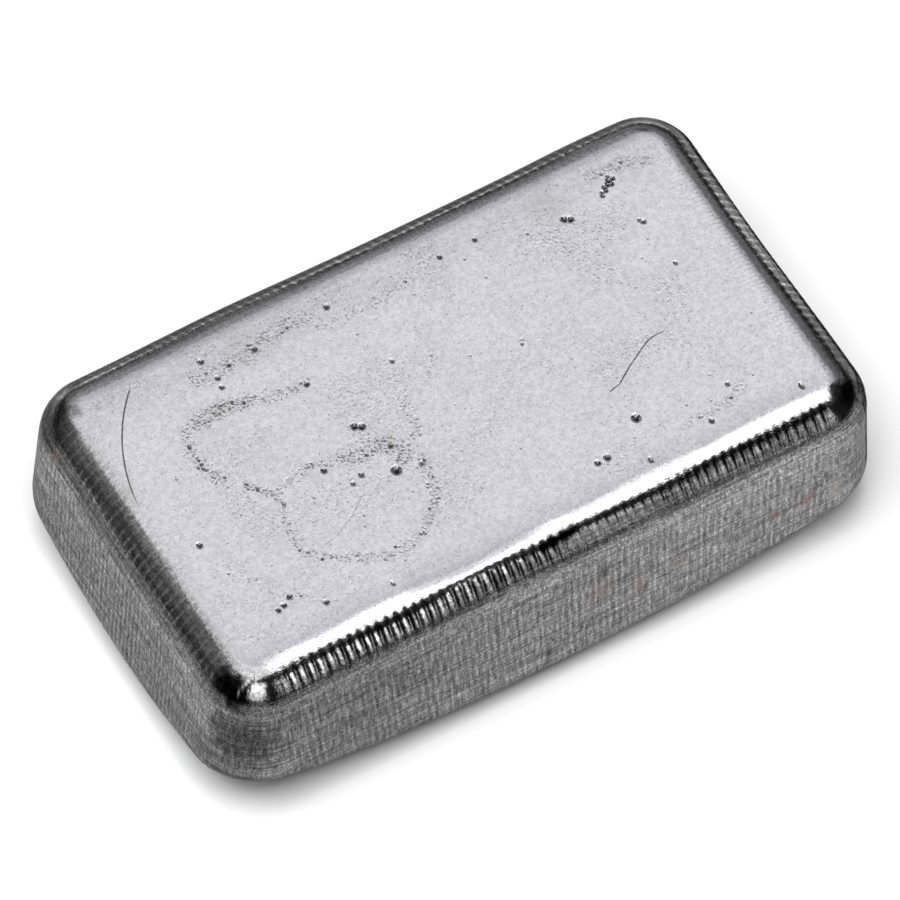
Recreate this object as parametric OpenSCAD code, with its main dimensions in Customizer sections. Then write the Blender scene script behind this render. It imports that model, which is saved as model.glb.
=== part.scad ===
// Cast metal ingot, a small hand-poured bar of silver, in millimetres.
// The bar lies mould face up: the flat top and the leaning walls took the shape of a milled
// open mould, and the underside is the pour face, which set free in the air.
// The length runs along X, the width along Y and the thickness along Z; z = 0 is the rest face.

/* [Bar] */
// Length of the flat mould face
face_length = 39.5; // [30:0.1:60]
// Width of the flat mould face
face_width = 20.2; // [12:0.1:40]
// Thickness from the rest face to the mould face
height = 13.1; // [8:0.1:20]

/* [Mould walls] */
// Radius of the rounded edge round the mould face, left by a ball-nosed cutter
edge_radius = 3.125; // [1.25:0.625:3.75]
// Plan radius that the upright corners still have at the rim of the mould face
corner_rim = 0.6; // [0.2:0.1:4]

/* [Pour face] */
// Radius of the belly of the pour face along the length
belly_along = 98; // [60:1:200]
// Radius of the belly of the pour face across the width
belly_across = 41; // [25:1:58]
// How much of the belly is lost to the flat that the bar rests on
rest_depth = 1.0; // [0.2:0.05:1.5]
// Radius of the lip where the pour face turns up into the walls
lip_radius = 1.2; // [0.6:0.1:2]

/* [Hidden] */

cast_silver = [0.78, 0.78, 0.80];

// The walls lean outwards by 4.35 degrees on the way down. The lean is held as two sides of a
// right triangle whose third side is 1, so that each corner of the section is a short decimal
// and the rounded edge meets the wall with no step.
lean_run = 0.07584;
lean_rise = 0.99712;
// How far each wall is drawn below the rounded edge, past the rest face.
wall_slant = 12.5;

// How far outside the flat mould face the lip meets the walls.
lip_reach = edge_radius * lean_rise + 7.5 * lean_run;
// Tilt, in degrees, of the pour outline beyond the lip, so that it stays clear of the walls.
lip_flare = 18;
// A hair by which the lip stands proud, so that it crosses the belly instead of grazing it.
proud = 0.002;
// How far the pour outline of the end walls sits below that of the long walls.
end_drop = 0.16;

// Half of the section through the bar: half the mould face, the rounded edge and the wall.
module half_section(face_half) {
    centre_z = height - edge_radius;
    touch = [face_half + edge_radius * lean_rise, centre_z + edge_radius * lean_run];
    foot = touch + wall_slant * [lean_run, -lean_rise];
    polygon([
        [0, foot[1]], foot, touch,
        [face_half, centre_z], [face_half, height], [0, height]
    ]);
    intersection() {
        translate([face_half, centre_z]) circle(r = edge_radius);
        polygon([
            [face_half, centre_z],
            touch,
            [face_half + 2 * edge_radius, centre_z + edge_radius],
            [face_half + 2 * edge_radius, height + 1],
            [face_half, height + 1]
        ]);
    }
}

// The straight middle of the bar between two corners.
module straight(face_half, run_length) {
    rotate([90, 0, 0])
        linear_extrude(height = run_length, center = true)
            union() {
                half_section(face_half);
                mirror([1, 0]) half_section(face_half);
            }
}

// One upright corner: the same section given a quarter turn.
module corner() {
    rotate_extrude(angle = 90) half_section(corner_rim);
}

// What the mould shaped: the mould face, the rounded edge, the walls and the corners.
module mould_shape() {
    x = face_length / 2 - corner_rim;
    y = face_width / 2 - corner_rim;
    straight(face_length / 2, 2 * y);
    rotate([0, 0, 90]) straight(face_width / 2, 2 * x);
    translate([x, y, 0]) corner();
    translate([-x, y, 0]) rotate([0, 0, 90]) corner();
    translate([-x, -y, 0]) rotate([0, 0, 180]) corner();
    translate([x, -y, 0]) rotate([0, 0, 270]) corner();
}

// Outline of the pour face, seen along one way of the bar: belly, two lips and their flare.
// `around` is the radius it turns at, `across` the radius of its own belly, and `foot` is how
// far out the lip meets the wall.
module pour_outline(around, across, foot) {
    reach = across - lip_radius;
    lip_y = foot - lip_radius * cos(lip_flare);
    lip_x = around - across + sqrt(reach * reach - lip_y * lip_y) + proud;
    turn = asin(lip_y / reach);
    past_x = lip_x + 2 * lip_radius * cos(turn);
    past_y = lip_y + 2 * lip_radius * sin(turn);
    brow_x = lip_x + (lip_radius - proud) * sin(lip_flare);
    brow_y = lip_y + (lip_radius - proud) * cos(lip_flare);
    top = around - height - 4;
    side = brow_y + (brow_x - top) * tan(lip_flare);
    polygon([
        [top, -side], [brow_x, -brow_y], [lip_x, -lip_y],
        [lip_x, lip_y], [brow_x, brow_y], [top, side]
    ]);
    intersection() {
        translate([around - across, 0]) circle(r = across);
        polygon([
            [lip_x, -lip_y], [past_x, -past_y], [around + 1, -past_y],
            [around + 1, past_y], [past_x, past_y], [lip_x, lip_y]
        ]);
    }
    translate([lip_x, lip_y]) circle(r = lip_radius);
    translate([lip_x, -lip_y]) circle(r = lip_radius);
}

// The pour face as the long walls meet it, turned about a line across the bar.
module pour_long() {
    translate([0, 0, belly_along - rest_depth])
        rotate([90, 0, 0])
            rotate_extrude()
                pour_outline(belly_along, belly_across, face_width / 2 + lip_reach);
}

// The pour face as the end walls meet it, turned about a line along the bar.
module pour_wide() {
    translate([0, 0, belly_across - rest_depth - end_drop])
        rotate([0, 90, 0])
            rotate([0, 0, 90])
                rotate_extrude()
                    pour_outline(belly_across, belly_along, face_length / 2 + lip_reach);
}

// Everything above the level that the bar rests on.
module above_rest() {
    translate([-face_length, -face_width, 0])
        cube([2 * face_length, 2 * face_width, height + 5]);
}

module ingot() {
    color(cast_silver)
        intersection() {
            mould_shape();
            above_rest();
            pour_long();
            pour_wide();
        }
}

ingot();
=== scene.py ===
"""Cast silver ingot: its looks, floor, lights and camera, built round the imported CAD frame."""

import math

import bpy
import numpy as np
from mathutils import Matrix, Vector


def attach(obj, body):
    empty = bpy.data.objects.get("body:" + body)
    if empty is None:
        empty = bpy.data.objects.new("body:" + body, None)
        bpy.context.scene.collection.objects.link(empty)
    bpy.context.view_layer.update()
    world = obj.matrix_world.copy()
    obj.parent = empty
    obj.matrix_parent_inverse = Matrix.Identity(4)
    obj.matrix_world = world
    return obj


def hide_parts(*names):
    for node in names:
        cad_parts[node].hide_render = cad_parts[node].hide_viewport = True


MM = 0.001

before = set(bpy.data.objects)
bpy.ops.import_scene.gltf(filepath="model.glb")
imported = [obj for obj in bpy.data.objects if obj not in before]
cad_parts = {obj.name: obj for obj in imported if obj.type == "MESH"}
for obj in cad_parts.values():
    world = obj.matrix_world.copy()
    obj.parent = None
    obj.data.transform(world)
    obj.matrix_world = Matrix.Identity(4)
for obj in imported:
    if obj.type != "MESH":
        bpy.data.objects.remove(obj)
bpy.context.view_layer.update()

# ---------------------------------------------------------------- the bar's own sizes, in mm
FACE_X, FACE_Y = 19.75, 10.1      # half the flat mould face
HEIGHT = 13.1
EDGE_R = 3.125                    # rounded edge round the mould face
RIM_R = 0.6                       # plan radius of the corners at the rim
LEAN_RUN, LEAN_RISE = 0.07584, 0.99712   # cosine and sine of the edge angle where the wall starts
BELLY_X, BELLY_Y = 98.0, 41.0     # radii of the domed pour face, along and across
REST = 1.0                        # how much the flat that the bar rests on cuts off the dome
LIP = 0.92                        # how far the lip's rounding reaches from the crease

INNER_X, INNER_Y = FACE_X - RIM_R, FACE_Y - RIM_R
WALL_ANGLE = math.asin(LEAN_RISE)
TOUCH_Z = HEIGHT - EDGE_R + EDGE_R * LEAN_RUN
TOUCH_D = EDGE_R * LEAN_RISE
LEAN = LEAN_RUN / LEAN_RISE

EDGE_PITCH = (0.630, 0.630, 0.614, 0.631)   # spacing of the mill marks round the edge
WALL_PITCH = 0.465                          # and of the finer ones down the walls
SEG_X, SEG_Y, SEG_C = 480, 240, 64          # columns along a long side, a short side and a corner
RIM_ROWS = (-0.45, -0.3, -0.15, 0.0)        # the face's rows by its rim: how far outside it
WALL_ROWS, LIP_ROWS, UNDER_ROWS = 8, 5, 5
# Edge angles of the rows round the edge, in degrees; they are closer where the marks are.
FILLET_DEG = (4, 8, 11.5, 14.5, 17.5, 20.5, 23.5, 26.5, 29.5, 32.5, 36, 41, 47, 55, 65, 75, 85.65)

WALL_DEG = 84                               # the walls' points have an edge angle above this
RIGHT, BACK, LEFT, FRONT = 0, 1, 2, 3
FACE, UNDER = -1, -2


# ---------------------------------------------------------------- smooth random fields
def hash01(a, b, seed):
    """A steady random number from 0 to 1 for each pair of whole numbers."""
    a = np.asarray(a).astype(np.int64)
    b = np.asarray(b).astype(np.int64)
    n = (a * 374761393 + b * 668265263 + seed * 1442695041) & 0xFFFFFFFF
    n = ((n ^ (n >> 13)) * 1274126177) & 0xFFFFFFFF
    n = ((n ^ (n >> 16)) * 2246822519) & 0xFFFFFFFF
    return (n ^ (n >> 15)) / 4294967295.0


def field(x, y, seed):
    """Smooth noise from 0 to 1 with features about 1 unit across."""
    xi, yi = np.floor(x), np.floor(y)
    fx, fy = x - xi, y - yi
    fx = fx * fx * (3 - 2 * fx)
    fy = fy * fy * (3 - 2 * fy)
    a, b = hash01(xi, yi, seed), hash01(xi + 1, yi, seed)
    c, d = hash01(xi, yi + 1, seed), hash01(xi + 1, yi + 1, seed)
    return (a * (1 - fx) + b * fx) * (1 - fy) + (c * (1 - fx) + d * fx) * fy


def ramp(x, low, high):
    """A smooth step from 0 at low to 1 at high."""
    t = np.clip((x - low) / (high - low), 0, 1)
    return t * t * (3 - 2 * t)


def curve(x, *pairs):
    """Straight lines through the given (place, value) pairs."""
    return np.interp(x, [p[0] for p in pairs], [p[1] for p in pairs])


def path_distance(x, y, path):
    """Distance from each point to a line of straight runs."""
    best = np.full(np.shape(x), 1e9)
    for (ax, ay), (bx, by) in zip(path, path[1:]):
        dx, dy = bx - ax, by - ay
        t = np.clip(((x - ax) * dx + (y - ay) * dy) / (dx * dx + dy * dy), 0, 1)
        best = np.minimum(best, np.hypot(x - ax - t * dx, y - ay - t * dy))
    return best


# ---------------------------------------------------------------- marks on the mould face
# Gas pits: x, y, radius, depth.
PITS = [
    (-6.50, 0.85, 0.19, 0.17), (-6.14, 0.62, 0.20, 0.17), (-5.85, -3.05, 0.27, 0.20),
    (12.10, 7.45, 0.18, 0.15), (12.45, 7.25, 0.18, 0.15), (8.55, -6.95, 0.24, 0.18),
    (4.90, -8.55, 0.15, 0.12), (5.60, -8.50, 0.17, 0.13), (12.40, -9.35, 0.13, 0.11),
    (18.45, -9.90, 0.16, 0.12), (7.79, -9.95, 0.15, 0.12), (4.10, 8.80, 0.12, 0.10),
    (6.60, 8.85, 0.12, 0.10), (16.25, 4.95, 0.13, 0.14), (16.10, 5.15, 0.09, 0.08),
    (16.40, 1.40, 0.09, 0.07), (-3.70, 9.05, 0.15, 0.13), (-7.50, 4.85, 0.13, 0.12),
    (-9.00, 8.55, 0.15, 0.12), (-10.90, 8.35, 0.12, 0.10), (-12.25, 9.35, 0.14, 0.11),
    (-11.95, 7.85, 0.13, 0.10), (-12.05, 7.15, 0.12, 0.10), (-18.70, -1.85, 0.16, 0.10),
    (-16.40, -7.90, 0.15, 0.10), (-16.85, -8.05, 0.12, 0.09), (-15.80, -7.55, 0.14, 0.10),
    (-14.10, -8.95, 0.14, 0.10), (-10.00, -9.80, 0.12, 0.10), (-2.20, 3.75, 0.10, 0.12),
    (15.95, 8.55, 0.16, 0.16), (16.20, 8.60, 0.15, 0.16), (15.75, 8.35, 0.15, 0.16),
    (15.98, 8.28, 0.13, 0.14), (15.50, 8.25, 0.13, 0.13), (15.40, 8.02, 0.12, 0.12),
    (15.15, 7.98, 0.10, 0.10), (16.05, 8.82, 0.10, 0.10), (15.05, 7.78, 0.09, 0.08),
    (-9.65, -0.95, 0.16, 0.10), (-7.85, -2.30, 0.13, 0.12), (-8.60, -2.60, 0.10, 0.09),
    (-5.30, -1.40, 0.13, 0.10), (-4.30, -3.40, 0.11, 0.09), (14.60, -7.60, 0.10, 0.08),
]
# Rashes of fine pitting left where the metal froze: half width, pits to a mm, strength, path.
RASHES = [
    (0.50, 2.6, 0.8, [(-15.3, 5.7), (-16.0, 3.9), (-15.9, 2.6), (-15.2, 1.3)]),
    (0.30, 3.4, 1.0, [(-14.2, 0.5), (-13.1, -0.9), (-13.0, -1.9)]),
    (0.35, 2.0, 0.7, [(-13.1, -1.9), (-13.5, -3.5), (-13.7, -5.0), (-12.6, -6.3), (-11.4, -7.0)]),
    (0.45, 1.5, 0.7, [(-11.4, -7.0), (-9.0, -8.1), (-7.3, -7.9), (-5.9, -7.1)]),
    (0.55, 2.2, 0.8, [(-5.9, -7.1), (-4.7, -5.6), (-4.3, -4.4), (-4.2, -3.0)]),
    (0.35, 1.6, 0.7, [(-13.0, -1.0), (-11.6, -0.6), (-10.2, -0.2), (-9.0, -0.6)]),
    (0.90, 2.6, 0.9, [(-8.2, -0.9), (-6.2, -0.9), (-5.2, -1.6), (-5.0, -2.6)]),
    (0.60, 1.6, 0.6, [(-3.0, 1.2), (-3.3, -0.6), (-4.0, -1.8)]),
    (0.70, 3.0, 1.0, [(-14.6, 5.7), (-12.9, 5.9), (-11.2, 5.6)]),
    (0.55, 1.8, 0.7, [(-11.2, 5.6), (-9.7, 5.0), (-7.6, 4.9)]),
    (0.80, 1.6, 0.7, [(-13.2, 8.4), (-10.6, 8.3), (-8.2, 8.9), (-5.2, 9.2)]),
    (0.60, 0.9, 0.5, [(-5.0, 8.0), (-1.5, 7.9), (1.5, 8.4)]),
    (0.50, 1.5, 0.6, [(15.0, 9.4), (17.3, 9.3), (18.9, 8.6)]),
    (0.50, 1.0, 0.5, [(11.0, -8.9), (13.4, -8.7), (15.2, -8.2)]),
    (0.60, 0.8, 0.5, [(9.2, 7.6), (11.0, 6.5), (11.2, 5.2)]),
    (0.60, 0.7, 0.4, [(-16.8, -6.4), (-15.4, -8.2), (-13.6, -9.0)]),
    (0.45, 0.8, 0.4, [(-9.2, -8.4), (-9.0, -9.7)]),
    (0.50, 0.7, 0.35, [(0.5, 5.0), (0.2, 2.6), (-1.4, 1.6)]),
    (0.45, 0.7, 0.35, [(5.4, 1.6), (5.2, -0.4), (6.4, -2.0)]),
]
# Hairline scratches: half width, depth, how dark (painted shade in the groove), path.
SCRATCHES = [
    (0.050, 0.030, 0.9, [(13.15, -2.45), (12.6, -2.42), (12.0, -2.55), (11.4, -2.85), (10.8, -3.2),
                         (10.15, -3.55), (9.5, -3.98), (8.95, -4.35), (8.5, -4.45), (8.15, -4.55)]),
    (0.070, 0.012, 0.0, [(-10.8, 8.8), (-9.0, 8.95), (-6.5, 8.75), (-4.5, 8.6)]),
    (0.070, 0.014, 0.0, [(2.0, 9.05), (5.0, 9.15), (8.5, 9.05), (12.6, 8.8), (15.5, 8.9), (18.5, 9.1)]),
    (0.040, 0.012, 0.35, [(-8.6, -3.6), (-9.8, -4.5), (-11.3, -5.3), (-12.4, -5.5)]),
]


RIPPLE_PITCH = 0.315              # spacing of the faint ripples at the right of the face
ARC = (-8.15, 0.93, 12.46)        # centre and radius of the long curved scratch at the left end
NICK = [(-21.36, -11.29), (-20.41, -11.17)]     # a short slanting nick on the front left corner
NICK_HALF = 0.16                  # its half width
PIT_WIDTH, PIT_DEPTH = 1.15, 1.2  # scale of all the gas pits
DISH, DISH_SLOPE = 0.11, 0.33     # width and slope of the shallow dish round a gas pit
RASH_FILL = 1.9                   # scale of the number of specks in all the rashes
SPECK_DEPTH = 0.075               # the deepest speck of a rash
LARGE = 0.08                      # pits deeper than this are gas pits with a dish
LOOSE_SPECKS = 90


def rash_specks():
    """The small pits of every rash, laid along its path by steady random numbers."""
    found = []
    for k, (width, density, strength, path) in enumerate(RASHES):
        for j, ((ax, ay), (bx, by)) in enumerate(zip(path, path[1:])):
            length = math.hypot(bx - ax, by - ay)
            for i in range(int(round(density * length * RASH_FILL))):
                t, u, v, w = (float(hash01(i, 10 * k + j, seed)) for seed in (21, 22, 23, 24))
                side = (u + v - 1) * width * 1.1
                x = ax + (bx - ax) * t - (by - ay) / length * side
                y = ay + (by - ay) * t + (bx - ax) / length * side
                r = 0.065 + 0.06 * w * w * (0.5 + strength)
                steep = 0.9 if float(hash01(i, 10 * k + j, 25)) < 0.45 else 0.30
                if abs(x) < FACE_X - 0.3 and abs(y) < FACE_Y - 0.25:
                    found.append((x, y, r, min(steep * r, SPECK_DEPTH)))
    return found


def loose_specks():
    """Shallow specks strewn all over the mould face."""
    found = []
    for i in range(LOOSE_SPECKS):
        x = (float(hash01(i, 1, 31)) * 2 - 1) * (INNER_X - 0.2)
        y = (float(hash01(i, 2, 31)) * 2 - 1) * (INNER_Y - 0.2)
        r = 0.07 + 0.05 * float(hash01(i, 3, 31))
        found.append((x, y, r, 0.32 * r))
    return found


GAS_PITS = [(x, y, PIT_WIDTH * r, PIT_DEPTH * depth) for x, y, r, depth in PITS]
ALL_PITS = np.array(GAS_PITS + rash_specks() + loose_specks())


# ---------------------------------------------------------------- the columns round the bar
def make_columns():
    """For each column: foot point on the inner rectangle, outward normal, side, place along
    that side, and how far into a corner it is."""
    feet, normals, side, along, corner = [], [], [], [], []
    ends = [
        ((INNER_X, -INNER_Y), (INNER_X, INNER_Y), SEG_Y),
        ((INNER_X, INNER_Y), (-INNER_X, INNER_Y), SEG_X),
        ((-INNER_X, INNER_Y), (-INNER_X, -INNER_Y), SEG_Y),
        ((-INNER_X, -INNER_Y), (INNER_X, -INNER_Y), SEG_X),
    ]
    for k, (a, b, count) in enumerate(ends):
        out = np.array([math.cos(k * math.pi / 2), math.sin(k * math.pi / 2)])
        a, b = np.array(a), np.array(b)
        for j in range(count):
            p = a + (b - a) * j / count
            feet.append(p)
            normals.append(out)
            side.append(k)
            along.append(p[1] if k % 2 == 0 else p[0])
            corner.append(0.0)
        for j in range(SEG_C):
            t = (k + j / SEG_C) * math.pi / 2
            feet.append(b)
            normals.append(np.array([math.cos(t), math.sin(t)]))
            half = j * 2 < SEG_C
            side.append(k if half else (k + 1) % 4)
            along.append(b[k % 2 ^ 1] if half else b[k % 2])
            corner.append(1 - abs(2 * j / SEG_C - 1))
    return (np.array(feet), np.array(normals), np.array(side), np.array(along), np.array(corner))


FEET, NORMALS, SIDE, ALONG, CORNER = make_columns()
COLUMNS = len(FEET)


def belly(x, y):
    """Height of the pour face."""
    tube = BELLY_X - BELLY_Y + np.sqrt(BELLY_Y ** 2 - y ** 2)
    return np.maximum(BELLY_X - REST - np.sqrt(tube ** 2 - x ** 2), 0.0)


def place(d):
    """Plan position of each column at distance d outside the rim."""
    return FEET + NORMALS * (np.asarray(d) + RIM_R * np.ones(COLUMNS))[:, None]


def wall_d(z):
    """How far the wall stands outside the rim at height z."""
    return TOUCH_D + (TOUCH_Z - z) * LEAN


def crease_height():
    """Height at which each column's wall would meet the pour face, found by repeated trial."""
    z = np.full(COLUMNS, 2.0)
    for _ in range(30):
        p = place(wall_d(z))
        z = belly(p[:, 0], p[:, 1])
    return z


CREASE = crease_height()


def mark_phase(side, along, phi):
    """Whole number of each mill mark, and place across it from -0.5 to 0.5."""
    slant = np.choose(side, [0.3, 1.3, 0.5, 0.15])
    wander = 0.22 * field(along * 0.5, side * 7.0, 3)
    u = along / np.choose(side, EDGE_PITCH) + wander + slant * (phi / WALL_ANGLE) ** 2 + 0.37 * side
    cell = np.floor(u)
    return cell, u - cell - 0.5


def wall_phase(side, along, z):
    """The same for the finer marks down the walls, which lean a little and fan out."""
    lean = np.choose(side, [0.0, 0.02, -0.05, 0.045 - 0.004 * along])
    u = (along + lean * (z - 6)) / WALL_PITCH + 0.3 * field(along * 0.4, side * 5.0, 6) + 0.61 * side
    cell = np.floor(u)
    return cell, u - cell - 0.5


def mark_strength(side, along):
    """How strongly the mill marks stand out along each side."""
    front = curve(along, (-20, 0.2), (-19, 0.5), (-17.5, 1.0), (-3, 1.0), (-1, 0.8), (1.2, 0.40),
                  (5, 0.40), (8, 0.65), (19, 0.70), (20, 0.3))
    right = curve(along, (-10, 0.4), (-7, 0.7), (8, 0.7), (10, 0.3))
    back = curve(along, (-20, 0.4), (-10, 0.6), (15, 0.7), (20, 0.3))
    left = curve(along, (-10, 0.5), (-8, 1.0), (6, 0.9), (8, 0.5), (10, 0.2))
    return np.choose(side, [right, back, left, front])


def mill_marks(side, along, corner, phi):
    """Depth of the mill marks round the edge, below the smooth surface."""
    cell, f = mark_phase(side, along, phi)
    size = 0.75 + 0.5 * hash01(cell, side, 11)
    depth = np.choose(side, [0.014, 0.014, 0.022, 0.030])
    deg = np.degrees(phi)
    rise = np.where(side == FRONT, ramp(deg, 20, 29), ramp(deg, 4, 26))
    fall = 1 - np.where(side == LEFT, ramp(deg, 44, 66), ramp(deg, 48, 80))
    return depth * size * rise * fall * mark_strength(side, along) * (1 - corner) * (2 * f) ** 2


def wall_marks(side, along, corner, z):
    """Depth of the mill marks on the walls."""
    cell, f = wall_phase(side, along, z)
    size = 0.4 + 1.2 * hash01(cell, side, 13)
    depth = np.choose(side, [0.007, 0.006, 0.006, 0.009])
    return depth * size * ramp(z, 10.6, 8.6) * (1 - corner) * (2 * f) ** 2


def face_relief(x, y):
    """How far the mould face lies below its own plane."""
    deep = np.zeros(len(x))
    for px, py, r, depth in ALL_PITS:
        near = (np.abs(x - px) < r + DISH) & (np.abs(y - py) < r + DISH)
        if near.any():
            far = np.hypot(x[near] - px, y[near] - py)
            bowl = depth * np.clip(1 - (far / r) ** 2, 0, 1) ** 1.5
            if depth > LARGE:
                bowl = bowl + DISH_SLOPE * np.clip(r + DISH - far, 0, DISH)
            deep[near] = np.maximum(deep[near], bowl)
    for width, depth, dark, path in SCRATCHES:
        q = path_distance(x, y, path) / width
        deep = np.maximum(deep, depth * np.clip(1 - q, 0, 1))
    return deep


class Shell:
    """The bar's points, tags and faces, as they are gathered.

    A point's tag holds its side, its place along it, its corner share and its edge angle.
    """

    def __init__(self):
        self.points, self.tags, self.faces = [], [], []
        self.count = 0

    def add(self, xy, z, side, along, corner, phi):
        """Adds points at plan positions xy and heights z, and gives back their numbers."""
        n = len(z)
        self.points.append(np.column_stack([xy, z]))
        self.tags.append(np.column_stack([np.broadcast_to(v, (n,)) for v in (side, along, corner, phi)]))
        self.count += n
        return self.count - n + np.arange(n)

    def add_row(self, d, z, phi, keep=slice(None)):
        """A point for each column kept, at distance d outside the rim."""
        p = place(d)[keep]
        z = np.broadcast_to(z, (COLUMNS,))[keep]
        return self.add(p, z, SIDE[keep], ALONG[keep], CORNER[keep], phi)

    def add_face(self, loop):
        """A face, with points that come twice in a row taken once."""
        self.faces.append([v for a, v in enumerate(loop) if v != loop[a - 1]])

    def ring(self, upper, lower):
        """Faces between two rings of the same number of points."""
        for i in range(len(upper)):
            j = (i + 1) % len(upper)
            self.add_face([upper[i], lower[i], lower[j], upper[j]])

    def halve(self, upper, lower):
        """Faces between a ring and the next one, which has half as many points."""
        for i in range(len(lower)):
            j = (i + 1) % len(lower)
            after = upper[(2 * i + 2) % len(upper)]
            self.add_face([upper[2 * i], lower[i], lower[j], after, upper[2 * i + 1]])


def inner_rectangle(shell):
    """The rectangle inside the rim, where the columns of a corner share one point."""
    first, xy = {}, []
    inner = np.zeros(COLUMNS, int)
    for i, p in enumerate(FEET):
        key = (round(p[0], 5), round(p[1], 5))
        if key not in first:
            first[key] = len(xy)
            xy.append(p)
        inner[i] = first[key]
    xy = np.array(xy)
    shell.add(xy, HEIGHT - face_relief(xy[:, 0], xy[:, 1]), FACE, 0, 0, 0)
    return inner


def edge_and_walls(shell, inner):
    """The rows from the inner rectangle over the rounded edge and down to the lip."""
    rows = [inner]
    for d in RIM_ROWS:
        p = place(d)
        rows.append(shell.add(p, HEIGHT - face_relief(p[:, 0], p[:, 1]), FACE, ALONG, 0, 0))
    for degrees in FILLET_DEG:
        phi = min(math.radians(degrees), WALL_ANGLE)
        h = EDGE_R - mill_marks(SIDE, ALONG, CORNER, np.full(COLUMNS, phi))
        rows.append(shell.add_row(h * math.sin(phi), HEIGHT - EDGE_R + h * math.cos(phi), phi))
    low = CREASE + LIP
    for k in range(1, WALL_ROWS + 1):
        z = TOUCH_Z + (low - TOUCH_Z) * k / WALL_ROWS
        m = wall_marks(SIDE, ALONG, CORNER, z)
        rows.append(shell.add_row(wall_d(z) - m * LEAN_RISE, z - m * LEAN_RUN, WALL_ANGLE))
    for upper, lower in zip(rows, rows[1:]):
        shell.ring(upper, lower)
    return rows[-1]


def lip_and_pour_face(shell, last):
    """The lip, with half the columns, then the pour face: rings with a quarter, and a grid."""
    low = CREASE + LIP
    d0, d1 = wall_d(low), wall_d(CREASE)
    d2 = d1 - LIP
    end = place(d2)
    z2 = belly(end[:, 0], end[:, 1])
    for k in range(1, LIP_ROWS + 1):
        t = k / LIP_ROWS
        d = (1 - t) ** 2 * d0 + 2 * t * (1 - t) * d1 + t * t * d2
        z = (1 - t) ** 2 * low + 2 * t * (1 - t) * CREASE + t * t * z2
        row = shell.add_row(d, z, WALL_ANGLE, slice(0, None, 2))
        (shell.halve if k == 1 else shell.ring)(last, row)
        last = row
    for k in range(1, UNDER_ROWS):
        p = place(d2 + (-RIM_R - d2) * k / UNDER_ROWS)[::4]
        row = shell.add(p, belly(p[:, 0], p[:, 1]), UNDER, 0, 0, 0)
        (shell.halve if k == 1 else shell.ring)(last, row)
        last = row

    nx, ny = SEG_X // 8, SEG_Y // 8
    xs, ys = np.linspace(-INNER_X, INNER_X, nx + 1), np.linspace(-INNER_Y, INNER_Y, ny + 1)
    gx, gy = (g.ravel() for g in np.meshgrid(xs, ys, indexing="ij"))
    ids = shell.add(np.column_stack([gx, gy]), belly(gx, gy), UNDER, 0, 0, 0).reshape(nx + 1, ny + 1)
    for i in range(nx):
        for j in range(ny):
            shell.add_face([ids[i, j], ids[i, j + 1], ids[i + 1, j + 1], ids[i + 1, j]])
    rim = []
    for x, y in FEET[::8]:
        ix = int(round((x + INNER_X) / (2 * INNER_X) * nx))
        iy = int(round((y + INNER_Y) / (2 * INNER_Y) * ny))
        rim.append(ids[ix, iy])
    shell.halve(last, rim)


# The mould face has square cells on a fine grid. A cell spans from 1 to WIDEST steps of it.
FINE_X, FINE_Y, WIDEST = SEG_X * 2, SEG_Y * 2, 16
STEP_X, STEP_Y = 2 * INNER_X / FINE_X, 2 * INNER_Y / FINE_Y


def wanted_sizes():
    """The widest cell allowed at each spot of the fine grid: small ones round each mark."""
    wanted = np.full((FINE_X, FINE_Y), WIDEST)
    cx = -INNER_X + (np.arange(FINE_X) + 0.5) * STEP_X
    cy = -INNER_Y + (np.arange(FINE_Y) + 0.5) * STEP_Y
    gx, gy = np.meshgrid(cx, cy, indexing="ij")
    for width, depth, dark, path in SCRATCHES:
        wanted[path_distance(gx, gy, path) < 0.1] = 1 if dark else 2
    for px, py, r, depth in ALL_PITS:
        reach = r + DISH if depth > LARGE else 1.1 * r
        i0, i1 = np.searchsorted(cx, [px - reach, px + reach])
        j0, j1 = np.searchsorted(cy, [py - reach, py + reach])
        near = wanted[max(i0 - 1, 0):i1 + 1, max(j0 - 1, 0):j1 + 1]
        np.minimum(near, 1 if r > 0.1 else 2, out=near)
    # A cell on the border spans the two steps from one column to the next, so no gap is left.
    for edge in (wanted[:2], wanted[-2:], wanted[:, :2], wanted[:, -2:]):
        np.maximum(edge, 2, out=edge)
    return wanted


def split_cells(wanted):
    """Cells (i, j, size), quartered until each is as small as is wanted within it."""
    cells = [(i, j, WIDEST) for i in range(0, FINE_X, WIDEST) for j in range(0, FINE_Y, WIDEST)]
    done = []
    while cells:
        i, j, size = cells.pop()
        if size > wanted[i:i + size, j:j + size].min():
            h = size // 2
            cells += [(i, j, h), (i + h, j, h), (i, j + h, h), (i + h, j + h, h)]
        else:
            done.append((i, j, size))
    return done


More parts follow.
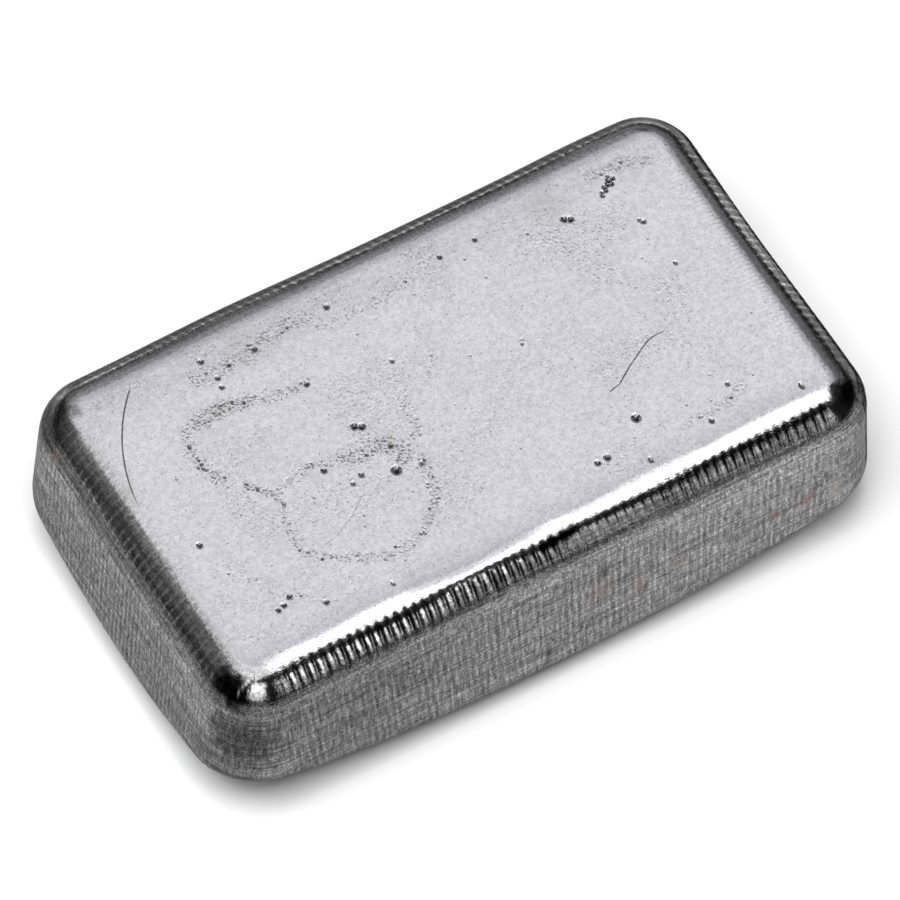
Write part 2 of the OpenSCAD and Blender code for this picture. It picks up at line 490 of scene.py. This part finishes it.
def mould_face(shell, inner):
    """The mould face inside the inner rectangle; a cell takes in its neighbours' points."""
    cells = split_cells(wanted_sizes())
    used = np.zeros((FINE_X + 1, FINE_Y + 1), bool)
    for i, j, s in cells:
        used[i, j] = used[i + s, j] = used[i, j + s] = used[i + s, j + s] = True
    # Along its border the face has the columns' own points and no others.
    used[0, :] = used[-1, :] = used[:, 0] = used[:, -1] = False
    used[0, ::2] = used[-1, ::2] = True
    used[::2, 0] = used[::2, -1] = True
    number = -np.ones(used.shape, int)
    for (x, y), point in zip(FEET, inner):
        number[int(round((x + INNER_X) / STEP_X)), int(round((y + INNER_Y) / STEP_Y))] = point
    ii, jj = np.nonzero(used & (number < 0))
    x, y = -INNER_X + ii * STEP_X, -INNER_Y + jj * STEP_Y
    number[ii, jj] = shell.add(np.column_stack([x, y]), HEIGHT - face_relief(x, y), FACE, 0, 0, 0)
    for i, j, s in cells:
        loop = [number[k, j] for k in range(i, i + s) if used[k, j]]
        loop += [number[i + s, k] for k in range(j, j + s) if used[i + s, k]]
        loop += [number[k, j + s] for k in range(i + s, i, -1) if used[k, j + s]]
        loop += [number[i, k] for k in range(j + s, j, -1) if used[i, k]]
        shell.faces.append(loop)


def settle(points):
    """The slight unevenness of a poured bar: its back edge swells and its lip rises and dips."""
    x, y, z = points.T
    # The back edge swells at two places, and the right end is a little hollow.
    high = ramp(z, 3.0, 9.0) * (1 - 0.6 * ramp(z, 12.2, 13.1))
    swell = 0.16 * np.exp(-((x + 9) / 6) ** 2) + 0.13 * np.exp(-((x - 16) / 4) ** 2)
    y = y + swell * high * ramp(y, 8.5, 11.5)
    x = x - 0.14 * high * np.exp(-((y - 2) / 6) ** 2) * ramp(x, 19.0, 21.5)
    # The front rim of the mould face wavers and laps over left of the middle.
    lap = 0.20 * np.exp(-((x + 4.5) / 3.2) ** 4) + 0.06 * np.sin(x * 0.7) - 0.04
    y = y - lap * ramp(-y, 9.2, 10.3) * (1 - ramp(-y, 10.9, 12.3)) * ramp(z, 10.0, 12.4)
    # The nick is a groove straight into the corner.
    nick = 0.03 * np.clip(1 - path_distance(x, y, NICK) / NICK_HALF, 0, 1) * (z > 11)
    x, y, z = x + 0.5 * nick, y + 0.5 * nick, z - 0.7 * nick
    # The lip dips right of the middle in front and rises at the front left corner.
    rim = ramp(np.abs(y), 10.6, 13.4) + ramp(np.abs(x), 20.4, 23.2)
    near = np.clip(rim, 0, 1) * (1 - ramp(z, 2.0, 7.0)) * ramp(z, 0.9, 2.0)
    dip = -0.20 * np.exp(-(((x - 12) / 7) ** 2 + ((y + 13.5) / 5) ** 2))
    dip = dip + 0.26 * np.exp(-(((x + 22.5) / 5) ** 2 + ((y + 12) / 5) ** 2))
    dip = dip + 0.05 * (field(x * 0.3 + 40, y * 0.3 + 40, 51) - 0.5)
    return np.column_stack([x, y, z + dip * near])


def build_shell():
    """The whole skin: its points, their tags and its faces. The mould face's middle comes last."""
    shell = Shell()
    inner = inner_rectangle(shell)
    lip_and_pour_face(shell, edge_and_walls(shell, inner))
    mould_face(shell, inner)
    return settle(np.concatenate(shell.points)), np.concatenate(shell.tags), shell.faces


points, tags, faces = build_shell()
mesh = bpy.data.meshes.new("ingot_cast")
mesh.from_pydata((points * MM).tolist(), [], [[int(v) for v in f] for f in faces])
mesh.validate()
mesh.shade_smooth()
bar = bpy.data.objects.new("ingot_cast", mesh)
bpy.context.scene.collection.objects.link(bar)
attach(bar, "root")
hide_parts("ingot")


# ---------------------------------------------------------------- what each spot of the skin is like
# Painted highlights (above 1) and painted dark reflections (below 1) on the edge and walls, the dark ones
# partly soot: x, y, z, radius, tone multiplier.
PAINTED_LIGHT_AND_SOOT_BLOTS = [
    (-21.7, -10.9, 12.1, 1.25, 0.10), (-21.6, -11.6, 11.7, 0.8, 0.15), (-21.8, -10.0, 12.4, 0.8, 0.3),
    (-20.5, -11.8, 12.3, 0.75, 2.6), (-20.2, -11.4, 12.6, 0.5, 1.8),
    (-21.9, -12.3, 8.4, 2.6, 0.38), (-22.0, -12.0, 5.2, 2.6, 0.75),
    (20.8, -11.4, 12.4, 0.95, 0.18), (21.5, -10.9, 12.0, 0.8, 0.45), (-21.6, 10.2, 12.2, 1.8, 0.45),
    (-0.8, -11.8, 12.6, 0.45, 0.05), (-0.1, -11.7, 12.65, 0.50, 0.05), (0.7, -11.65, 12.7, 0.5, 0.05),
    (1.3, -11.6, 12.75, 0.4, 0.1), (-3.2, -13.6, 4.7, 0.35, 0.45), (-1.2, -13.7, 3.2, 0.4, 0.4),
    (-2.2, -13.6, 3.7, 0.35, 0.5), (2.6, -13.3, 9.3, 0.3, 0.5), (17.6, -13.4, 7.3, 0.35, 0.5),
    (16.6, -13.4, 7.6, 0.25, 0.4), (18.4, -13.4, 7.9, 0.25, 0.4), (-22.5, -6.8, 10.9, 1.5, 1.25),
    (-22.6, -3.0, 10.6, 1.3, 1.18), (-22.6, 7.0, 10.3, 1.3, 1.2), (-12.0, -13.4, 8.0, 3.0, 0.92),
]
# Stains: x, y, z, radius, strength, and 1 for reddish or 0 for yellowish.
STAINS = [
    (2.4, -13.4, 7.4, 1.3, 0.7, 1), (5.2, -13.5, 5.9, 1.0, 0.7, 1), (8.0, -13.5, 6.4, 0.7, 0.6, 1),
    (14.8, -13.5, 6.2, 0.7, 0.7, 1), (17.1, -13.5, 6.1, 0.9, 0.9, 1), (-22.5, 8.8, 11.4, 0.55, 0.55, 1),
    (19.1, -13.5, 6.0, 0.7, 0.8, 0), (-13.2, 5.8, 13.1, 1.0, 0.5, 0), (-5.2, -1.0, 13.1, 0.9, 0.35, 0),
    (-9.5, 9.0, 13.1, 2.0, 0.25, 0), (11.5, 8.8, 13.1, 1.8, 0.25, 0), (-20.8, 3.5, 12.9, 0.8, 0.5, 0),
]


def painted_band_tone(s, along, deg, bent, z):
    """Painted reflections on side s, before its marks and blots: the edge's bands by edge angle, and the
    walls' grey, partly their darker colour and partly painted reflection.
    """
    wall = np.choose(s, [
        0.24 + 0 * along,
        0.14 + 0 * along,
        curve(along, (-10, 0.26), (10, 0.27)) * (1 + 0.22 * ramp(z, 6, 10)),
        curve(along, (-20, 0.20), (0, 0.27), (20, 0.31)) * (1 + 0.008 * along * ramp(z, 6, 10)),
    ])
    # The right side's painted grey reflection band is brighter in the middle; the left side's painted bands
    # slant.
    middle = curve(along, (-9.5, 0.8), (-5, 0.9), (-2, 1.25), (3, 1.3), (7, 0.8), (9.5, 0.7))
    slid = deg - curve(along, (-9, -4), (-4, -1), (2, 3), (9, 3)) * ramp(deg, 46, 56)
    darker_left = curve(along, (-20, 0.68), (-9, 0.86), (0, 0.96), (20, 1.10))
    edge = np.choose(s, [
        curve(deg, (0, 0.93), (10, 1), (16, 0.95), (24, 0.8), (30, 0.55), (36, 0.30), (42, 0.38),
              (50, 0.36), (56, 0.22), (62, 0.10), (86, 0.08)) * (1 + (middle - 1) * ramp(deg, 30, 38)),
        curve(deg, (0, 0.86), (6, 0.68), (12, 0.66), (16, 0.76), (20, 0.9), (28, 0.9), (32, 0.5),
              (36, 0.16), (45, 0.10), (60, 0.08), (70, 0.10), (86, 0.15)),
        curve(slid, (0, 0.97), (16, 0.95), (22, 0.80), (26, 0.88), (30, 0.95), (38, 0.85),
              (44, 0.68), (50, 0.38), (54, 0.16), (58, 0.09), (64, 0.14), (70, 0.24), (86, 0.27)),
        curve(bent, (0, 0.86), (6, 0.84), (13, 0.92), (16, 1), (27, 1), (30, 0.35), (32.5, 0.26),
              (35, 0.42), (38, 0.46), (46, 0.30), (53, 0.23), (60, 0.28), (70, 0.30), (86, 0.29))
        * (1 + (darker_left - 1) * ramp(deg, 42, 52)),
    ])
    # Along the front the painted bright strip of reflection starts further down in three stretches, and the
    # painted reflection below it is duller.
    late = 0.9 * (1 - ramp(along, -19.8, -17.6))
    late = late + ramp(along, -10.3, -8.6) * (1 - ramp(along, -1.5, 0.5))
    late = late + 0.45 * ramp(along, 0.5, 2) * (1 - ramp(along, 7, 9.5))
    late = late * curve(deg, (2, 0), (8, 0.35), (11.5, 1), (14.5, 0.9), (17.5, 0))
    edge = edge * np.where(s == FRONT, 1 - 0.42 * late, 1)
    dull = curve(along, (-9, 0), (-7, 0.3), (0, 0.45), (9, 0.5), (14, 0.45), (20, 0.35))
    edge = edge * np.where(s == FRONT, 1 - dull * ramp(deg, 31, 35) * (1 - ramp(deg, 47, 53)), 1)
    return np.where(deg > WALL_DEG, wall, edge)


def painted_edge_tone(x, y, z, s, along, corner, phi):
    """The tone of the edge and walls with painted reflections: the mill marks' painted dark gaps and painted
    bright crests.
    """
    deg = np.degrees(phi)
    cell, f = mark_phase(s, along, phi)
    uneven = hash01(cell, s, 12)
    power = mark_strength(s, along) * (1 - corner)
    early = np.where(s == FRONT, 5.0, 0.0) * (np.abs(2 * f) - 0.6 + 0.5 * uneven) * power
    bent = np.where((deg > 12) & (deg < 50), deg + early, deg)

    # Round a corner the tone passes over to the next side's.
    own = painted_band_tone(s, along, deg, bent, z)
    beyond = np.where(s % 2 == 0, np.where(y > 0, BACK, FRONT), np.where(x > 0, RIGHT, LEFT))
    reach = np.where(s % 2 == 0, np.sign(x) * INNER_X, np.sign(y) * INNER_Y)
    other = painted_band_tone(beyond, reach, deg, deg, z)
    tone_with_painted_light = own + 0.5 * ramp(corner, 0, 1) * (other - own)

    # In front: painted highlights as streaks under the bright strip, and a darker tone between them further
    # right.
    crest = np.exp(-((f + 0.3 * (uneven - 0.5)) / (0.15 + 0.10 * uneven)) ** 2)
    band = ramp(deg, 26, 33) * (1 - ramp(deg, 47, 66)) * power
    glow = curve(along, (-19, 0.8), (-17.5, 1.45), (-10.5, 1.35), (-8, 0.8), (0, 0.5), (2, 0.7),
                 (8, 0.7), (10, 0.5))
    broken = 0.35 + 1.3 * field(along * 3.4, deg * 0.22, 15)
    gap = curve(deg, (27, 0.40), (31, 0.22), (38, 0.40), (46, 0.75), (60, 1.0))
    lit = curve(deg, (26, 2.6), (34, 1.5), (44, 1.0), (54, 0.5))
    streak = (gap + lit * crest * np.where(deg < 33, 1, glow)) * (0.6 + 0.8 * uneven) * broken
    faint = curve(along, (-3, 1), (0, 0.65), (7, 0.6), (10, 0.8), (20, 0.8))
    tone_with_painted_light = tone_with_painted_light * np.where(s == FRONT, 1 + band * faint * (streak - 1), 1)
    darker_between = ramp(along, 7.5, 10) * ramp(deg, 24, 27) * (1 - ramp(deg, 33, 42))
    tone_with_painted_light = tone_with_painted_light * np.where(s == FRONT, 1 - 0.72 * darker_between * (1 - 0.6 * crest), 1)

    # On the other sides: painted highlights as thin pale arcs on the mill marks, a little darker between
    # them.
    end = np.where(s == LEFT, ramp(deg, 47, 60), ramp(deg, 62, 84))
    soft = ramp(deg, 14, 30) * (1 - end) * power
    arcs = 1.3 * np.exp(-((f - 0.2) / 0.12) ** 2) * (0.5 + uneven) - 0.30
    tone_with_painted_light = tone_with_painted_light * np.where(s == FRONT, 1, 1 + soft * arcs)

    # Finer lines down the walls.
    cell, f = wall_phase(s, along, z)
    lines = ramp(z, 11.2, 9.4) * (1 - corner) * (0.5 + hash01(cell, s, 14))
    return tone_with_painted_light * (1 + lines * 0.42 * (np.exp(-(f / 0.22) ** 2) - 0.4))


def add_light_and_soot_blots(tone_with_painted_light, x, y, z):
    # Each blot multiplies the tone: a painted highlight above 1, painted dark reflection and soot below 1.
    for bx, by, bz, r, amount in PAINTED_LIGHT_AND_SOOT_BLOTS:
        q = np.sqrt((x - bx) ** 2 + (y - by) ** 2 + (z - bz) ** 2) / r
        ragged = q + 0.5 * (field(x * 3.1, y * 3.1 + z * 3.7, 61) - 0.5)
        tone_with_painted_light = tone_with_painted_light * (1 + (amount - 1) * (1 - ramp(ragged, 0.55, 1.1)))
    return tone_with_painted_light


def add_nick(tone_with_painted_light, x, y, z, side):
    """The nick has a painted highlight on its upper side and painted shade on its lower."""
    middle_x, middle_y, slope = -20.9, -11.23, 0.126
    above = (y - middle_y - slope * (x - middle_x)) > 0
    here = (path_distance(x, y, NICK) < NICK_HALF) & (z > 11) & (side >= 0)
    return np.where(here, np.where(above, 1.0, 0.08), tone_with_painted_light)


def rash_mask(x, y, z, face, under):
    """Where the skin is finely pitted, from 0 to 1."""
    rash = np.zeros(len(x))
    for width, density, strength, path in RASHES:
        q = path_distance(x, y, path) + 0.5 * width * (field(x * 1.9, y * 1.9, 41) - 0.5)
        rash = np.maximum(rash, strength * (1 - ramp(q, width * 0.3, width * 1.3)))
    # Faint pitting along the back, in patches all over, and at the front left.
    rash = np.maximum(rash, 0.45 * ramp(y, 7.6, 9.6) * ramp(field(x * 0.8, y * 0.8, 42), 0.2, 0.8))
    rash = np.maximum(rash, 0.40 * ramp(field(x * 0.33 + 5, y * 0.33 + 5, 43), 0.45, 0.85))
    rash = np.maximum(rash, 0.45 * ramp(x, -10, -17) * ramp(y, 1, -5) * ramp(field(x, y, 44), 0.3, 0.8))
    rash[~face] *= 0.3
    rash[under | (z < 12)] = 0.0
    return rash


def hollow_shade_mask(x, y, face):
    """Painted shade inside the pits and the dark scratches, from 0 to 1."""
    hollow_shade = np.zeros(len(x))
    for px, py, r, depth in ALL_PITS:
        near = (np.abs(x - px) < r) & (np.abs(y - py) < r) & face
        q = np.hypot(x[near] - px, y[near] - py) / r
        hollow_shade[near] = np.maximum(hollow_shade[near], np.clip(1.7 - 2.0 * q, 0, 1) * min(1.0, 9 * depth))
    for width, depth, dark, path in SCRATCHES:
        q = path_distance(x, y, path) / width
        hollow_shade = np.maximum(hollow_shade, np.where(face, np.clip(1.3 - q, 0, 1) * dark, 0))
    return np.minimum(hollow_shade, 1)


def stain_mask(x, y, z, reddish):
    layer = np.zeros(len(x))
    for sx, sy, sz, r, amount, red in STAINS:
        if red == reddish:
            q = np.sqrt((x - sx) ** 2 + (y - sy) ** 2 + (z - sz) ** 2) / r
            layer = np.maximum(layer, amount * (1 - ramp(q, 0.2, 1.1)))
    return layer


def paint():
    """The masks that the mesh carries for its material, a number for each point."""
    x, y, z = points.T
    side, along, corner, phi = tags.T
    side = side.astype(int)
    deg = np.degrees(phi)
    face, under = side == FACE, side == UNDER
    s = np.maximum(side, 0)

    tone_with_painted_light = add_light_and_soot_blots(painted_edge_tone(x, y, z, s, along, corner, phi), x, y, z)
    tone_with_painted_light = np.minimum(add_nick(tone_with_painted_light, x, y, z, side), 1.0)
    fade = (1 - 0.10 * ramp(y, 6.5, 10.1)) * (1 - 0.10 * ramp(-y, 8.9, 10.1))
    tone_with_painted_light[face] = fade[face]
    tone_with_painted_light[under] = 0.35
    # Painted shade inside the pits and the dark scratches.
    tone_with_painted_light = tone_with_painted_light * (1 - 0.96 * hollow_shade_mask(x, y, face))

    ripple = ramp(x, FACE_X - 1.0, FACE_X - 0.5) * (1 - ramp(x, FACE_X + 0.2, FACE_X + 0.6))
    ripple = ripple * ramp(y, -8.5, -6) * (1 - ramp(y, 6.5, 8.5)) * ~under
    rough = curve(deg, (0, 0.15), (20, 0.14), (40, 0.14), (60, 0.20), (80, 0.28))
    rough = np.where(face, 0.15, rough) + np.choose(s, [0, 0, 0.05, -0.04]) * ramp(deg, 5, 25)
    glint = np.where(s == RIGHT, curve(deg, (38, 0.45), (54, 0.10)), 0.45) * ~face
    inset = np.minimum(FACE_X - np.abs(x), FACE_Y - np.abs(y))
    return {
        "tone_with_painted_light": tone_with_painted_light,                                                   # brightness, with painted reflections and shade on the edge and walls and painted shade in the pits
        "plate": np.where(face, 1.0, 1 - ramp(deg, 10, 32)) * ~under,   # the mould face
        "wall": ramp(deg, 40, 75) * ~face,
        "glint": glint,                                                 # gloss at a slant
        "grainy": np.where(face, 0.25 + 0.75 * ramp(inset, 0.1, 1.1), 0.25),
        "streaky": 1.0 - under,
        "corner": corner * (side >= 0),
        "rash": rash_mask(x, y, z, face, under),
        "rust": stain_mask(x, y, z, 1),
        "ochre": stain_mask(x, y, z, 0),
        "ripple": ripple,
        "rough": rough,
    }


def carry(values):
    """Put each mask on the mesh as an attribute of its points."""
    for name, value in values.items():
        layer = mesh.attributes.new(name, "FLOAT", "POINT")
        layer.data.foreach_set("value", np.asarray(value, np.float32))


carry(paint())


# ---------------------------------------------------------------- materials
class Graph:
    """Short names for making and joining shader nodes."""

    def __init__(self, name):
        self.material = bpy.data.materials.new(name)
        self.material.use_nodes = True
        self.nodes = self.material.node_tree.nodes
        self.links = self.material.node_tree.links
        self.shader = self.nodes["Principled BSDF"]

    def put(self, socket, value):
        if isinstance(value, bpy.types.NodeSocket):
            self.links.new(value, socket)
        else:
            socket.default_value = value

    def node(self, kind, **inputs):
        made = self.nodes.new(kind)
        for key, value in inputs.items():
            self.put(made.inputs[key.replace("_", " ")], value)
        return made

    def math(self, operation, a, b=0.0):
        made = self.nodes.new("ShaderNodeMath")
        made.operation = operation
        self.put(made.inputs[0], a)
        self.put(made.inputs[1], b)
        return made.outputs[0]

    def times(self, first, *others):
        for value in others:
            first = self.math("MULTIPLY", first, value)
        return first

    def plus(self, first, *others):
        for value in others:
            first = self.math("ADD", first, value)
        return first

    def minus(self, a, b):
        return self.math("SUBTRACT", a, b)

    def grey(self, value):
        made = self.node("ShaderNodeCombineColor", Red=value, Green=value, Blue=value)
        return made.outputs[0]

    def feed(self, name, value):
        self.links.new(value, self.shader.inputs[name])

    def attribute(self, name):
        made = self.nodes.new("ShaderNodeAttribute")
        made.attribute_name = name
        return made.outputs["Fac"]

    def stretch(self, x, y, z):
        """The object's own coordinates in mm, scaled on each axis."""
        coordinates = self.nodes.new("ShaderNodeTexCoord")
        made = self.nodes.new("ShaderNodeMapping")
        made.inputs["Scale"].default_value = (x / MM, y / MM, z / MM)
        self.links.new(coordinates.outputs["Object"], made.inputs["Vector"])
        return made.outputs[0]

    def noise(self, vector, scale, detail=2.0, rough=0.5):
        made = self.node("ShaderNodeTexNoise", Vector=vector, Scale=scale, Detail=detail, Roughness=rough)
        return made.outputs["Fac"]

    def band(self, value, low, high, out_low=0.0, out_high=1.0):
        made = self.node("ShaderNodeMapRange", Value=value)
        for key, number in (("From Min", low), ("From Max", high), ("To Min", out_low), ("To Max", out_high)):
            made.inputs[key].default_value = number
        return made.outputs["Result"]

    def mix(self, fac, a, b, kind="MIX"):
        made = self.nodes.new("ShaderNodeMix")
        made.data_type = "RGBA"
        made.blend_type = kind
        self.put(made.inputs["Factor"], fac)
        self.put(made.inputs[6], a)      # 6, 7 and output 2 are the colours of a Mix node
        self.put(made.inputs[7], b)
        return made.outputs[2]


g = Graph("cast_silver")
g.shader.inputs["Metallic"].default_value = 1.0
# The tone attribute carries the colour together with painted reflections and painted shade.
tone_with_painted_light, plate, rash, on_wall = (g.attribute(name) for name in ("tone_with_painted_light", "plate", "rash", "wall"))

plain = g.stretch(1, 1, 1)
grain = g.noise(plain, 4.6, 3.0, 0.62)
fine = g.noise(plain, 10.0, 2.0, 0.6)
cloud = g.noise(plain, 0.5, 3.0, 0.6)
smear = g.noise(plain, 2.3, 2.0, 0.6)
dots = g.noise(plain, 6.5, 1.0, 0.5)
crumbs = g.noise(plain, 5.2, 2.0, 0.55)
upright = g.noise(g.stretch(6.0, 6.0, 1.0), 1.0, 3.0, 0.65)
layers = g.noise(g.stretch(0.16, 0.16, 5.5), 1.0, 3.0, 0.65)
split = g.node("ShaderNodeSeparateXYZ", Vector=plain)
at_x, at_y = split.outputs[0], split.outputs[1]


def face_mottle():
    """Clouding, grain and small dark dots of the mould face, round 1."""
    return g.times(g.band(cloud, 0.3, 0.7, 0.96, 1.04), g.band(fine, 0.35, 0.65, 0.915, 1.085),
                   g.band(grain, 0.35, 0.65, 0.95, 1.05), g.band(smear, 0.35, 0.65, 0.93, 1.07),
                   g.band(dots, 0.66, 0.74, 1.0, 0.50))


def wall_mottle():
    """Streaks down the walls and layers along them, round 1; the pour face is only clouded."""
    streaky = g.attribute("streaky")
    lines = g.times(g.band(upright, 0.35, 0.65, 0.58, 1.42), g.band(layers, 0.35, 0.65, 0.60, 1.40))
    fleck = g.times(g.band(fine, 0.35, 0.65, -1.0, 1.0), g.band(on_wall, 0.0, 1.0, 0.18, 0.56))
    lines = g.times(lines, g.plus(fleck, 1.0))
    lines = g.plus(g.times(streaky, g.minus(lines, 1.0)), 1.0)
    return g.plus(lines, g.times(g.minus(1.0, streaky), g.band(cloud, 0.3, 0.7, -0.22, 0.22)))


def long_scratch():
    """1 on the long curved scratch at the left end, which runs off the face on to the edge."""
    off_x, off_y = g.minus(at_x, ARC[0]), g.minus(at_y, ARC[1])
    off = g.math("SQRT", g.plus(g.times(off_x, off_x), g.times(off_y, off_y)))
    line = g.band(g.math("ABSOLUTE", g.minus(off, ARC[2])), 0.015, 0.05, 1.0, 0.0)
    return g.times(line, g.band(at_y, 2.2, 3.4), g.band(at_y, 9.6, 9.9, 1.0, 0.0),
                   g.band(at_x, -16.5, -17.0))


scratch = long_scratch()


def silver_colour():
    mottle = g.plus(g.times(plate, face_mottle()), g.times(g.minus(1.0, plate), wall_mottle()))
    # Darker specks in the rashes.
    speckle = g.band(crumbs, 0.56, 0.68, 0.0, -0.72)
    darker_specks = g.plus(g.times(rash, g.minus(speckle, 0.03)), 1.0)
    # The long scratch is darkened as painted shade in its groove.
    value = g.times(tone_with_painted_light, mottle, darker_specks, g.minus(1.0, g.times(scratch, 0.62)))
    tint = g.mix(plate, (0.86, 0.86, 0.865, 1), (0.86, 0.85, 0.915, 1))
    colour = g.mix(1.0, tint, g.grey(value), "MULTIPLY")
    for name, stain in (("rust", (0.27, 0.15, 0.135, 1)), ("ochre", (0.46, 0.43, 0.33, 1))):
        colour = g.mix(g.times(g.attribute(name), g.band(grain, 0.4, 0.6)), colour, stain)
    return colour


def silver_roughness():
    """The face is smoother than the milled walls."""
    return g.plus(g.attribute("rough"), g.band(grain, 0.3, 0.7, -0.02, 0.05), g.times(rash, 0.06))


def silver_bump():
    """Grain everywhere, pitting in the rashes, streaks on the walls, and the ripple at the right."""
    height = g.times(g.plus(g.times(grain, 0.015), g.times(smear, 0.018)), g.attribute("grainy"))
    height = g.minus(height, g.times(scratch, 0.02))
    height = g.plus(height, g.times(rash, g.band(crumbs, 0.45, 0.70, 0.0, -0.034)))
    streaks = g.plus(g.times(upright, 0.045), g.times(layers, 0.035), g.times(fine, 0.03),
                     g.times(g.attribute("corner"), g.times(layers, 0.05)))
    wave = g.math("SINE", g.times(at_y, 2 * math.pi / RIPPLE_PITCH))
    height = g.plus(height, g.times(on_wall, streaks), g.times(g.attribute("ripple"), g.times(wave, 0.008)))
    bump = g.node("ShaderNodeBump", Height=height, Distance=MM)
    bump.inputs["Strength"].default_value = 1.0
    return bump.outputs[0]


g.feed("Base Color", silver_colour())
g.feed("Specular Tint", g.grey(g.plus(g.attribute("glint"), plate)))
g.feed("Roughness", silver_roughness())
g.feed("Normal", silver_bump())
mesh.materials.append(g.material)

# ---------------------------------------------------------------- floor, lights and camera
FLOOR_HALF = 3                    # metres
SQUARE = [(-FLOOR_HALF, -FLOOR_HALF, 0), (FLOOR_HALF, -FLOOR_HALF, 0),
          (FLOOR_HALF, FLOOR_HALF, 0), (-FLOOR_HALF, FLOOR_HALF, 0)]
floor_mesh = bpy.data.meshes.new("floor")
floor_mesh.from_pydata(SQUARE, [], [(0, 1, 2, 3)])
floor = bpy.data.objects.new("floor", floor_mesh)
bpy.context.scene.collection.objects.link(floor)
paper = Graph("paper")
paper.shader.inputs["Base Color"].default_value = (0.9, 0.9, 0.9, 1)
paper.shader.inputs["Roughness"].default_value = 1.0
paper.shader.inputs["Specular IOR Level"].default_value = 0.0
floor_mesh.materials.append(paper.material)

world = bpy.data.worlds.new("studio")
world.use_nodes = True
backdrop = world.node_tree.nodes["Background"]
backdrop.inputs["Color"].default_value = (0.03, 0.03, 0.031, 1)
backdrop.inputs["Strength"].default_value = 1.0
bpy.context.scene.world = world


def softbox(name, centre, target, size_x, size_y, radiance, up=(0, 1, 0), glossy=True, diffuse=True):
    """A flat rectangular light that faces target; radiance is its brightness as seen."""
    light = bpy.data.lights.new(name, "AREA")
    light.shape = "RECTANGLE"
    light.size, light.size_y = size_x, size_y
    light.energy = radiance * math.pi * size_x * size_y
    lamp = bpy.data.objects.new(name, light)
    z = (Vector(centre) - Vector(target)).normalized()
    x = Vector(up).cross(z).normalized()
    y = z.cross(x)
    lamp.matrix_world = Matrix.Translation(centre) @ Matrix((x, y, z)).transposed().to_4x4()
    lamp.visible_camera = False
    lamp.visible_glossy = glossy
    lamp.visible_diffuse = diffuse
    bpy.context.scene.collection.objects.link(lamp)


BOX_HEIGHT = 0.8                  # metres


def overhead(name, x0, x1, y0, y1, radiance):
    """A level softbox over the bar; its sides are given as slopes seen from the bar."""
    x, y = (x0 + x1) / 2 * BOX_HEIGHT, (y0 + y1) / 2 * BOX_HEIGHT
    softbox(name, (x, y, BOX_HEIGHT), (x, y, 0), (x1 - x0) * BOX_HEIGHT, (y1 - y0) * BOX_HEIGHT,
            radiance, diffuse=False)


# The bright box makes the strip along the front edge, the pale one lights the mould face.
overhead("bright_box", 0.12, 0.6, -0.45, 0.10, 1.5)
overhead("bright_left", -0.7, 0.11, -0.45, 0.10, 0.80)
overhead("pale_box", -0.66, 0.82, 0.10, 1.30, 0.73)
overhead("left_step", -1.10, -0.68, 0.13, 1.30, 0.14)
overhead("left_far", -3.2, -1.12, 0.30, 2.0, 0.08)
overhead("back_step", -0.66, 0.82, 1.32, 2.2, 0.30)
overhead("back_far", -0.66, 2.6, 2.22, 6.0, 0.13)
overhead("right_step", 0.84, 1.20, 0.13, 1.30, 0.42)
overhead("right_far", 1.22, 3.2, 0.13, 2.0, 0.12)


def card(name, way, width, height, radiance):
    """A card 1.2 m from the bar in the direction given."""
    softbox(name, Vector(way).normalized() * 1.2, (0, 0, 0.008), width, height, radiance,
            up=(0, 0, 1), diffuse=False)


# A narrow card low in front, which the mill marks catch as bright streaks, and one for the corner.
card("front_card", (0.33, -0.90, 0.56), 0.26, 0.75, 1.5)
card("corner_card", (-0.41, -0.675, 0.58), 0.62, 0.90, 1.0)
# The floor's own light stands over the camera's shoulder, so the shadow stays close to the bar.
softbox("floor_light", (-0.30, -0.18, 1.2), (-0.30, -0.18, 0), 0.96, 0.96, 8.2, glossy=False)

AZIMUTH, ELEVATION, ROLL = math.radians(-33.25), math.radians(58.07), math.radians(3.25)
DISTANCE = 0.5                    # metres from the camera to the point it aims at
AIM_HEIGHT, AIM_LEFT, AIM_DOWN = 6.5, 0.12527, 0.02432      # in mm
SENSOR, LENS = 36, 328.9          # in mm
back = Vector((math.sin(AZIMUTH), -math.cos(AZIMUTH), 0)) * math.cos(ELEVATION)
back.z = math.sin(ELEVATION)
right = Vector((math.cos(AZIMUTH), math.sin(AZIMUTH), 0))
up = back.cross(right)
roll_right = right * math.cos(ROLL) + up * math.sin(ROLL)
roll_up = up * math.cos(ROLL) - right * math.sin(ROLL)
aim = (Vector((0, 0, AIM_HEIGHT)) - roll_right * AIM_LEFT - roll_up * AIM_DOWN) * MM
camera_data = bpy.data.cameras.new("camera")
camera_data.sensor_width, camera_data.lens = SENSOR, LENS
camera_data.clip_start, camera_data.clip_end = 0.05, 20
camera = bpy.data.objects.new("camera", camera_data)
turn = Matrix((roll_right, roll_up, back)).transposed().to_4x4()
camera.matrix_world = Matrix.Translation(aim + back * DISTANCE) @ turn
bpy.context.scene.collection.objects.link(camera)
bpy.context.scene.camera = camera
bpy.context.scene.view_settings.view_transform = "Standard"
